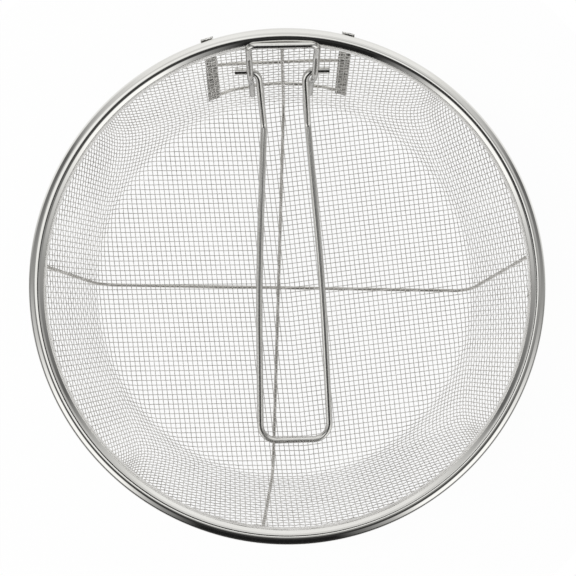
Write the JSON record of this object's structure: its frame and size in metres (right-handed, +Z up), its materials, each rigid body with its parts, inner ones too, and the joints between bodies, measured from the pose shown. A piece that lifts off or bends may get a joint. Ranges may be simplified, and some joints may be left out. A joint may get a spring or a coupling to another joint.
{
  "type": "deep fryer basket",
  "caption": "Round woven-wire fryer basket with a rolled steel rim, crossed wires under the bowl and a hairpin wire handle that folds into it.",
  "frame": {"origin": "on the surface that the basket stands on, below the middle of the bowl", "axes": "+Z up out of the bowl's mouth, +Y towards the side that carries the handle's bracket"},
  "size_m": [0.24, 0.24, 0.0706],
  "materials": {
    "mesh_wire": "woven stainless wire, bright",
    "rim_band": "polished stainless sheet",
    "hoop_wire": "plain steel wire, hidden",
    "cradle_wire": "drawn stainless wire",
    "backing_strip": "bright stainless strip",
    "backing_wire": "drawn stainless wire",
    "bracket_wire": "polished stainless wire",
    "handle_wire": "polished stainless wire"
  },
  "bodies": {
    "basket": {"mesh_bowl": "mesh_wire", "rim_channel": "rim_band", "rim_hoop_wire": "hoop_wire", "cradle_wire_long": "cradle_wire", "cradle_wire_cross": "cradle_wire", "backing_strip_left": "backing_strip", "backing_strip_right": "backing_strip", "backing_wire_lower": "backing_wire", "backing_wire_upper": "backing_wire", "handle_bracket": "bracket_wire"},
    "handle": {"handle": "handle_wire"}
  },
  "joints": [
    {"name": "handle_fold", "type": "hinge", "parent": "basket", "child": "handle", "pos_m": [-0.00291, 0.10425, 0.0492], "axis": [-0.9996, -0.0279, 0], "range_deg": [0, 143]}
  ]
}
